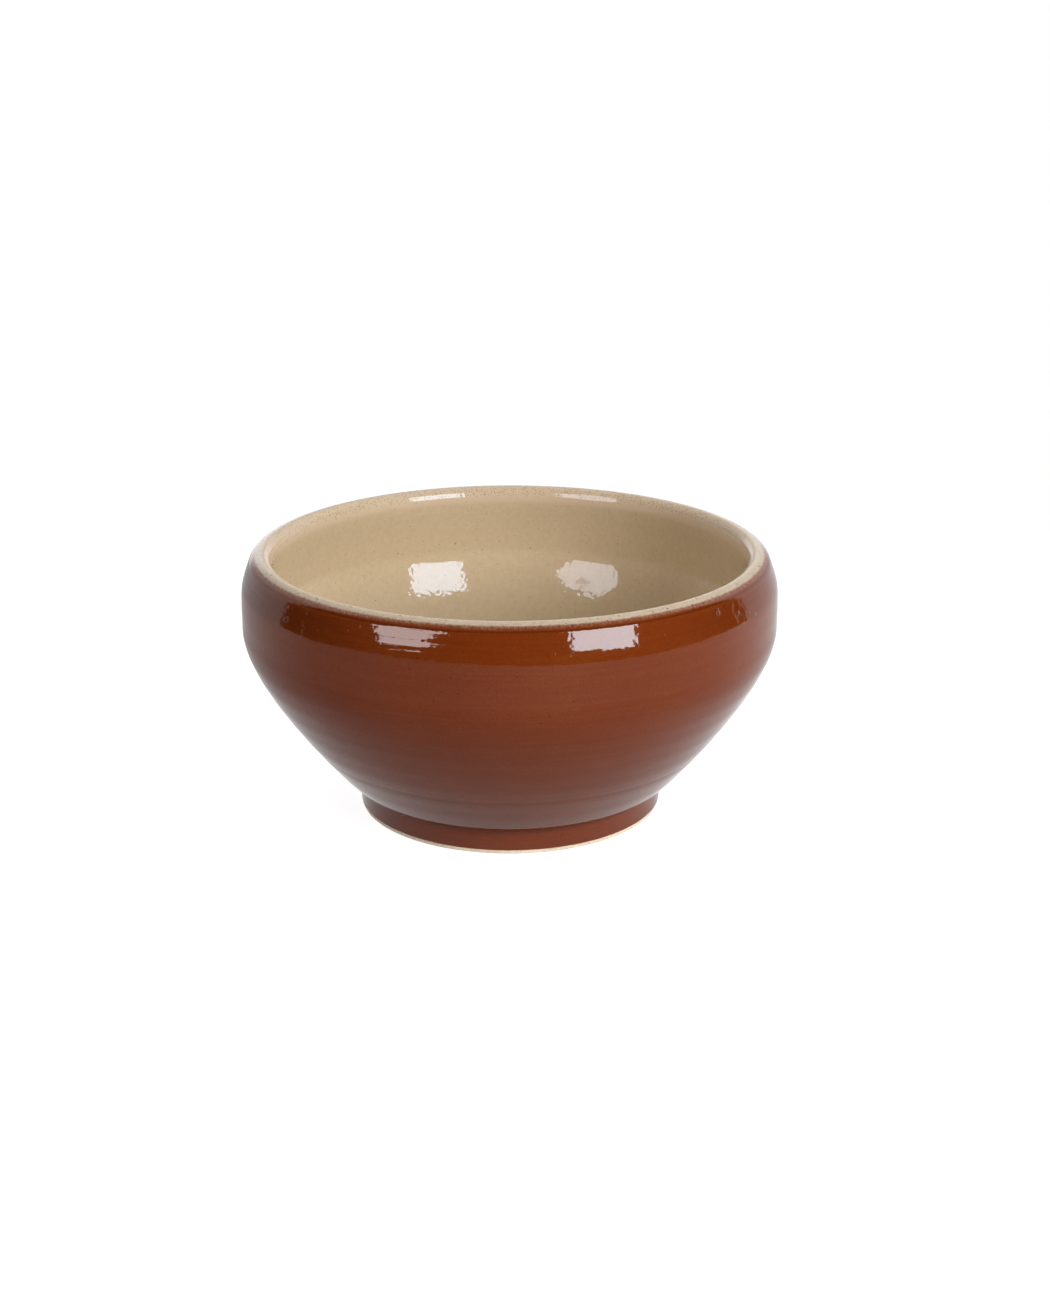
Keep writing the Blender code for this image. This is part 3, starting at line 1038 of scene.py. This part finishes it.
def prepared(scene):
    """The settings for a piece, once the shared effects are there: shape, marks, fineness and finish."""
    shape, finish = scene.bowl_shape, scene.bowl_finish
    if "Specks" not in bpy.data.node_groups:
        specks_group()
        turning_group()
        brown_group(finish, shape, scene.bowl_fineness)
        cream_group(finish, shape)
        meeting_group(finish, shape)
        skin_group()
    return shape, scene.bowl_marks, scene.bowl_fineness, finish


class BOWL_OT_clay(bpy.types.Operator):
    """Turn the clay body, with its bare foot ring and the recess under it"""

    bl_idname = "bowl.clay"
    bl_label = "Turn the clay"

    def execute(self, context):
        shape, marks, fine, finish = prepared(context.scene)
        depth = shape.coat + shape.seat
        side = shape.foot_radius - shape.bare_inset
        ring_inside = side - shape.foot_ring
        hollow = ring_inside - shape.recess_draft
        hidden = inside_skin(shape, fine)[:: fine.hidden] + outside_skin(shape, fine)[:: fine.hidden]
        ledge = shape.bare_height - shape.coat
        foot = [
            Vector((shape.foot_radius - depth, ledge)),
            Vector((side, ledge)),
            Vector((side, shape.chamfer)),
            Vector((side - shape.chamfer * FOOT_ROUNDING, shape.chamfer * FOOT_ROUNDING)),
            Vector((side - shape.chamfer, 0)),
            Vector((ring_inside + shape.chamfer, 0)),
            Vector((ring_inside, shape.chamfer * RING_CUT)),
        ]
        underside = []
        for step in range(fine.base + 1):
            radius = hollow * (1 - step / fine.base)
            ring = sin(tau * radius / marks.base_ripple_length) - 1
            underside.append(Vector((radius, shape.recess - marks.base_ripple_depth * ring)))
        outline = sunk(hidden, depth)[:-1] + foot + underside
        piece = turned("clay_body", outline, clay_material(finish), context.scene)
        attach(piece, "root")
        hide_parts("stoneware_body")
        return {"FINISHED"}


class BOWL_OT_brown_coat(bpy.types.Operator):
    """Turn the brown glaze coat on the outside, from under the lip to the foot"""

    bl_idname = "bowl.brown_coat"
    bl_label = "Glaze the outside"

    def execute(self, context):
        shape, marks, fine, finish = prepared(context.scene)
        skin = outside_skin(shape, fine)
        surface = marked(skin, lambda point: outside_mark(marks, shape, point))
        inner = sunk(skin, shape.coat)[:: fine.hidden]
        bead = [surface[-1] - shape.coat * Vector((BEAD_IN, BEAD_DOWN))]
        outline = surface + bead + inner[::-1]
        sheen = finish.brown_sheen
        material = glaze_material("brown_glaze", finish, 0.0, sheen, BROWN_RIDGES, BROWN_DIMPLES)
        piece = turned("brown_coat", outline, material, context.scene)
        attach(piece, "root")
        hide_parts("outside_glaze")
        return {"FINISHED"}


class BOWL_OT_cream_coat(bpy.types.Operator):
    """Turn the cream glaze coat over the floor, the inside wall and the lip"""

    bl_idname = "bowl.cream_coat"
    bl_label = "Glaze the inside"

    def execute(self, context):
        shape, marks, fine, finish = prepared(context.scene)
        skin = inside_skin(shape, fine)
        surface = marked(skin, lambda point: inside_mark(marks, shape, point))
        inner = sunk(skin, shape.coat)
        kept = inner[:: fine.hidden]
        outline = surface + [inner[-1]] + kept[::-1]
        sheen = finish.cream_sheen
        material = glaze_material("cream_glaze", finish, 1.0, sheen, CREAM_RIDGES, CREAM_DIMPLES)
        piece = turned("cream_coat", outline, material, context.scene)
        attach(piece, "root")
        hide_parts("inside_glaze")
        return {"FINISHED"}


# Stage

def mixed(tree, factor, first, second):
    """Mixes two shaders."""
    return fed(tree, put(tree, "MixShader"), factor, first, second)[0]


def glowing(tree, strength):
    """White light of this strength."""
    made = put(tree, "Emission")
    wire(tree, made.inputs["Strength"], strength)
    return made.outputs[0]


def floor_material(stage):
    """White floor: it takes the bowl's shadow close by, and is plain white further off."""
    material = bpy.data.materials.new("white_floor")
    material.use_nodes = True
    tree = material.node_tree
    tree.nodes.clear()
    position = put(tree, "TexCoord").outputs["Object"]
    rays = put(tree, "LightPath").outputs
    place = axes(tree, position)
    reach = measure(tree, "LENGTH", position)
    matt = fed(tree, put(tree, "BsdfDiffuse"), stage.floor_colour)[0]
    lit = fed(tree, put(tree, "AddShader"), matt, glowing(tree, stage.floor_lift))[0]
    away = ease(tree, reach, stage.floor_near, stage.floor_far)
    seen = reckon(tree, "MAXIMUM", rays["Is Camera Ray"], rays["Is Transmission Ray"])
    choice = mixed(tree, seen, matt, mixed(tree, away, lit, glowing(tree, 1.0)))
    side = reckon(tree, "ABSOLUTE", place["X"])
    strip = ease(tree, side, *STRIP_SIDE, STRIP_GAIN * stage.floor_behind, stage.floor_behind)
    front = ease(tree, reach, *FRONT_REACH, stage.floor_mirrored, FRONT_GAIN * stage.floor_mirrored)
    behind = ease(tree, place["Y"], *BEHIND_SPREAD, front, strip)
    beside = ease(tree, place["X"], *BESIDE_SPREAD, 1 - stage.room_lean, 1 + stage.room_lean)
    image = glowing(tree, scaled(tree, behind, beside, ease(tree, reach, *CLOSE_FLOOR)))
    mirrored = mixed(tree, rays["Is Glossy Ray"], choice, image)
    fed(tree, put(tree, "OutputMaterial"), mirrored)
    return material


def surroundings(stage):
    """White backdrop behind and beside the bowl, and a dark room in front of it."""
    world = bpy.data.worlds.new("studio")
    world.use_nodes = True
    tree = world.node_tree
    tree.nodes.clear()
    ray = axes(tree, put(tree, "TexCoord").outputs["Generated"])
    rays = put(tree, "LightPath").outputs
    azimuth = reckon(tree, "ARCTAN2", ray["X"], scaled(tree, ray["Y"], -1.0))
    spread = reckon(tree, "ABSOLUTE", reckon(tree, "SUBTRACT", azimuth, stage.room_turn))
    height = reckon(tree, "MAXIMUM", reckon(tree, "ARCSINE", ray["Z"]), 0.0)
    around = summed(tree, spread, scaled(tree, height, stage.room_overhang))
    half = stage.room_softness / 2
    start = stage.room_edge - half
    room = ease(tree, around, start, stage.room_edge + half, stage.room_dark, stage.room_bright)
    dimmed = scaled(tree, rays["Is Glossy Ray"], 1 - stage.room_mirrored)
    lean = scaled(tree, ray["X"], stage.room_lean)
    rise = scaled(tree, reckon(tree, "MAXIMUM", ray["Z"], 0.0), stage.room_rise)
    room = scaled(tree, room, rest_of(tree, dimmed), summed(tree, 1.0, lean, rise))
    fade = stage.window_softness / 2
    near = pi - stage.window_near
    far = pi - stage.window_far
    window = scaled(
        tree,
        band(tree, spread, far - fade, far + fade, near - fade, near + fade),
        ease(tree, height, stage.window_top + fade, stage.window_top - fade),
        rays["Is Glossy Ray"],
        ease(tree, ray["X"], -half, half, stage.window_left, stage.window_right),
    )
    seen = reckon(tree, "MAXIMUM", rays["Is Camera Ray"], rays["Is Transmission Ray"])
    strength = blend(tree, seen, summed(tree, room, window), 1.0, "FLOAT")
    sky = fed(tree, put(tree, "Background"), (1, 1, 1), strength)[0]
    fed(tree, put(tree, "OutputWorld"), sky)
    bpy.context.scene.world = world


def lamp(name, stage, azimuth, elevation, power, width, height):
    """A rectangular lamp that faces the bowl."""
    data = bpy.data.lights.new(name, "AREA")
    data.energy = power
    data.color = stage.lamp_colour
    data.shape = "RECTANGLE"
    data.size = width
    data.size_y = height
    made = bpy.data.objects.new(name, data)
    aim = Vector((0, 0, bpy.context.scene.bowl_shape.belly_height))
    flat = cos(elevation)
    away = Vector((sin(azimuth) * flat, -cos(azimuth) * flat, sin(elevation)))
    made.location = aim + stage.lamp_distance * away
    made.rotation_euler = away.to_track_quat("Z", "Y").to_euler()
    bpy.context.scene.collection.objects.link(made)
    return made


def cut_corners(made, stage):
    """Cuts a lamp's face to six corners, widest near its top, and shades a spot on it."""
    made.data.use_nodes = True
    tree = made.data.node_tree
    across = put(tree, "NewGeometry").outputs["Parametric"]
    place = axes(tree, shift(tree, "SUBTRACT", across, (HALF_FACE, HALF_FACE, 0)))
    rise = stage.fill_rise / (stage.fill_rise + stage.fill_drop)
    x = place["X"]
    y = reckon(tree, "SUBTRACT", place["Y"], HALF_FACE - rise)
    above = scaled(tree, y, HALF_FACE / rise)
    below = scaled(tree, y, -HALF_FACE / (1 - rise))
    apart = reckon(tree, "MAXIMUM", above, below)
    slanted = summed(tree, reckon(tree, "ABSOLUTE", x), scaled(tree, apart, CORNER_CUT))
    inside = reckon(tree, "LESS_THAN", reckon(tree, "MAXIMUM", slanted, apart), HALF_FACE)
    x_away = reckon(tree, "POWER", reckon(tree, "SUBTRACT", x, SPOT_X), 2.0)
    y_away = reckon(tree, "POWER", reckon(tree, "SUBTRACT", y, SPOT_Y), 2.0)
    away = reckon(tree, "SQRT", summed(tree, x_away, y_away))
    glow = scaled(tree, inside, ease(tree, away, *SPOT_SHADE))
    wire(tree, tree.nodes["Emission"].inputs["Strength"], glow)


def add_shine(made, share, tint):
    """Doubles a lamp with one that only shows in the glaze, at this share of its power."""
    shine = made.copy()
    shine.data = made.data.copy()
    shine.data.energy *= share
    shine.data.color = tint
    shine.location *= 1 - SHINE_GAP
    shine.visible_diffuse = False
    bpy.context.scene.collection.objects.link(shine)


class BOWL_OT_stage(bpy.types.Operator):
    """Set up the floor, the surroundings, the lamps and the camera"""

    bl_idname = "bowl.stage"
    bl_label = "Set the stage"

    def execute(self, context):
        scene = context.scene
        stage = scene.bowl_stage
        disc = bmesh.new()
        bmesh.ops.create_circle(disc, cap_ends=True, segments=FLOOR_STEPS, radius=stage.floor_radius)
        mesh = bpy.data.meshes.new("floor")
        disc.to_mesh(mesh)
        disc.free()
        mesh.materials.append(floor_material(stage))
        floor = bpy.data.objects.new("floor", mesh)
        floor.location.z = -FLOOR_DROP
        scene.collection.objects.link(floor)

        surroundings(stage)
        key = lamp(
            "right_lamp", stage, stage.key_azimuth, stage.key_elevation, stage.key_power,
            stage.key_width, stage.key_height,
        )
        key.rotation_euler.rotate_axis("Z", -stage.key_roll)
        add_shine(key, stage.key_shine, stage.lamp_colour)
        fill = lamp(
            "left_lamp", stage, stage.fill_azimuth, stage.fill_elevation, stage.fill_power,
            stage.fill_width, stage.fill_rise + stage.fill_drop,
        )
        cut_corners(fill, stage)
        add_shine(fill, stage.fill_shine, stage.fill_tint)
        bounce = lamp(
            "right_card", stage, stage.bounce_azimuth, stage.bounce_elevation, stage.bounce_power,
            stage.bounce_size, stage.bounce_size,
        )
        bounce.visible_glossy = False

        view = bpy.data.cameras.new("camera")
        view.sensor_width = FRAME_WIDTH
        view.lens = stage.camera_lens
        camera = bpy.data.objects.new("camera", view)
        camera.location = stage.camera_place
        camera.rotation_euler = (pi / 2 - stage.camera_pitch, 0, 0)
        scene.collection.objects.link(camera)
        scene.camera = camera
        scene.view_settings.view_transform = "Standard"
        return {"FINISHED"}


class BOWL_PT_panel(bpy.types.Panel):
    """Steps and settings of the serving bowl"""

    bl_idname = "BOWL_PT_panel"
    bl_label = "Serving bowl"
    bl_space_type = "VIEW_3D"
    bl_region_type = "UI"
    bl_category = "Bowl"

    def draw(self, context):
        for step in STEPS:
            self.layout.operator(step.bl_idname)
        for name, kind in SETTINGS.items():
            box = self.layout.box()
            box.label(text=kind.__doc__)
            for field in kind.__annotations__:
                box.prop(getattr(context.scene, name), field)


SETTINGS = {
    "bowl_shape": BowlShape,
    "bowl_marks": BowlMarks,
    "bowl_fineness": BowlFineness,
    "bowl_finish": BowlFinish,
    "bowl_stage": BowlStage,
}
STEPS = (BOWL_OT_clay, BOWL_OT_brown_coat, BOWL_OT_cream_coat, BOWL_OT_stage)


def register():
    for kind in (*SETTINGS.values(), *STEPS, BOWL_PT_panel):
        bpy.utils.register_class(kind)
    for name, kind in SETTINGS.items():
        setattr(bpy.types.Scene, name, bpy.props.PointerProperty(type=kind))


def unregister():
    for name in SETTINGS:
        delattr(bpy.types.Scene, name)
    for kind in (BOWL_PT_panel, *reversed(STEPS), *reversed(list(SETTINGS.values()))):
        bpy.utils.unregister_class(kind)


def main():
    register()
    bpy.ops.bowl.clay()
    bpy.ops.bowl.brown_coat()
    bpy.ops.bowl.cream_coat()
    bpy.ops.bowl.stage()


if __name__ == "__main__":
    main()
